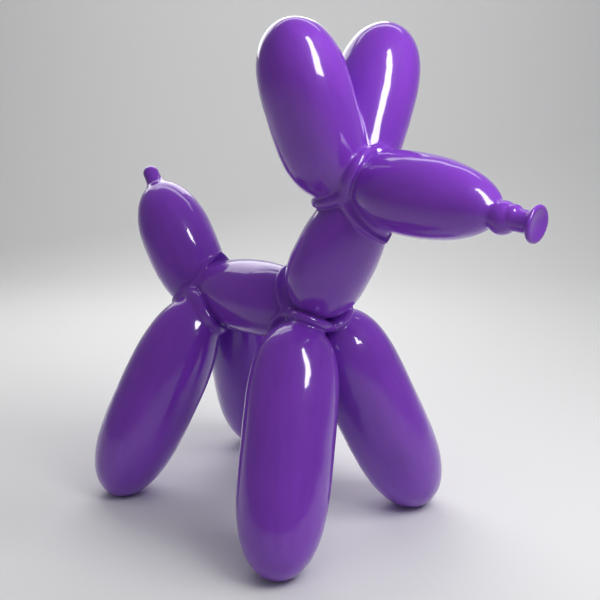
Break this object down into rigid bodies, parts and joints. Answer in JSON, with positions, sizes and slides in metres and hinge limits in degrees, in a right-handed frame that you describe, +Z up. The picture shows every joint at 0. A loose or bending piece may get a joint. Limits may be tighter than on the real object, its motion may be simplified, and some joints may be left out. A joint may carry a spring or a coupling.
{
  "type": "twisted balloon dog statue",
  "caption": "Standing dog twisted from one long balloon, as a gloss-lacquered fibreglass statue with upright ears, a knotted nose and splayed legs.",
  "frame": {"origin": "on the ground, under the middle of the statue's box", "axes": "+X the way the dog faces, +Y its left side, +Z up"},
  "size_m": [1.7782, 0.9366, 1.7503],
  "materials": {
    "purple_lacquer": "opaque purple gel coat under clear gloss lacquer"
  },
  "bodies": {
    "root": {"balloon_poodle": "purple_lacquer"}
  },
  "joints": []
}
